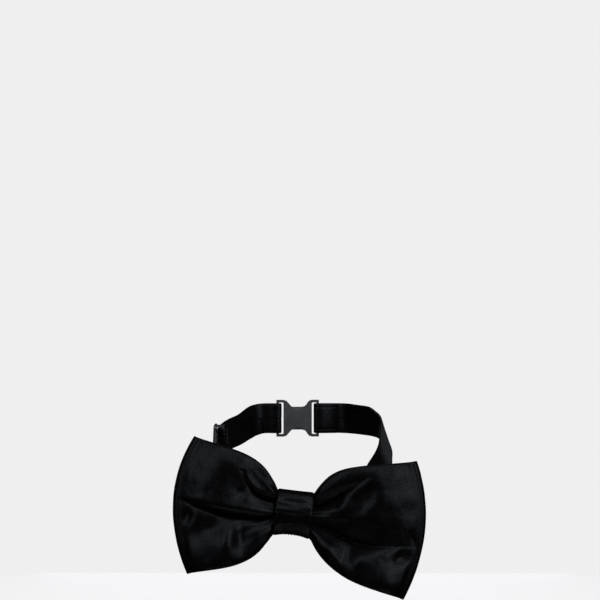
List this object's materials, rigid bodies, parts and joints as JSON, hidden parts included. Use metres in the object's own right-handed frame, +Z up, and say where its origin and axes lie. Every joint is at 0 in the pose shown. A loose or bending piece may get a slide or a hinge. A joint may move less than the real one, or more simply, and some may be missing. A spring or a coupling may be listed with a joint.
{
  "type": "bow tie",
  "caption": "Pre-tied black satin bow tie with a wrapped knot on an adjustable neck strap that closes at the back with a hook and an eye.",
  "frame": {"origin": "on the axis of the neck, level with the middle of the knot", "axes": "+X to the wearer's left, which is the viewer's right; +Y to the back of the neck; +Z up along the neck"},
  "size_m": [0.127, 0.1043, 0.0968],
  "materials": {
    "bow_satin": "black satin weave with a soft broad sheen",
    "strap_satin": "black satin ribbon, pressed flat, matte at its edges",
    "interlining": "dark woven canvas interlining, matte",
    "sewing_thread": "black polyester sewing thread",
    "metal": "bright nickel plate on stamped sheet and wire, lightly worn"
  },
  "bodies": {
    "neck_strap": {"strap_main": "strap_satin", "strap_return": "strap_satin"},
    "keeper": {"strap_keeper": "strap_satin", "keeper_tack": "sewing_thread"},
    "bow": {"bow_loop_cover": "bow_satin", "bow_loop_interlining": "interlining", "waist_thread": "sewing_thread", "knot_pad": "interlining", "knot_wrap": "bow_satin", "knot_seam": "sewing_thread"},
    "strap_side": {"strap_right_side": "strap_satin"},
    "strap_end": {"strap_right_end": "strap_satin", "eye_bartack": "sewing_thread"},
    "strap_slider": {"slider": "metal", "slider_bartack": "sewing_thread"},
    "back_hook": {"hook": "metal"},
    "back_eye": {"eye": "metal"}
  },
  "joints": [
    {"name": "bow_slide", "type": "slide", "parent": "neck_strap", "child": "keeper", "axis": [1, 0, 0], "range_m": [-0.004, 0.0145]},
    {"name": "bow_swivel", "type": "hinge", "parent": "keeper", "child": "bow", "pos_m": [-0.00725, -0.0412, 0], "axis": [0, 1, 0], "range_deg": [-21.5, 8.5]},
    {"name": "slider_slide", "type": "slide", "parent": "neck_strap", "child": "strap_slider", "axis": [0.06, 0.995, 0.08], "range_m": [-0.002, 0.006], "deforming": ["strap_return"]},
    {"name": "strap_side_open", "type": "hinge", "parent": "neck_strap", "child": "strap_side", "pos_m": [0.04094, -0.00513, 0.03402], "axis": [0.4191, 0.3761, -0.8264], "range_deg": [0, 26]},
    {"name": "strap_end_open", "type": "hinge", "parent": "strap_side", "child": "strap_end", "pos_m": [0.02992, 0.03293, 0.04388], "axis": [0.0542, 0.1424, -0.9883], "range_deg": [0, 100]},
    {"name": "eye_pivot", "type": "hinge", "parent": "strap_end", "child": "back_eye", "pos_m": [0.00548, 0.0429, 0.0445], "axis": [0, 0, -1], "range_deg": [0, 70]},
    {"name": "hook_pivot", "type": "hinge", "parent": "neck_strap", "child": "back_hook", "pos_m": [-0.016, 0.0415, 0.0445], "axis": [0, 0, -1], "range_deg": [0, 60]}
  ],
  "couplings": [
    {"joint": "strap_side_open", "follows": "strap_end_open", "ratio": 0.25}
  ]
}
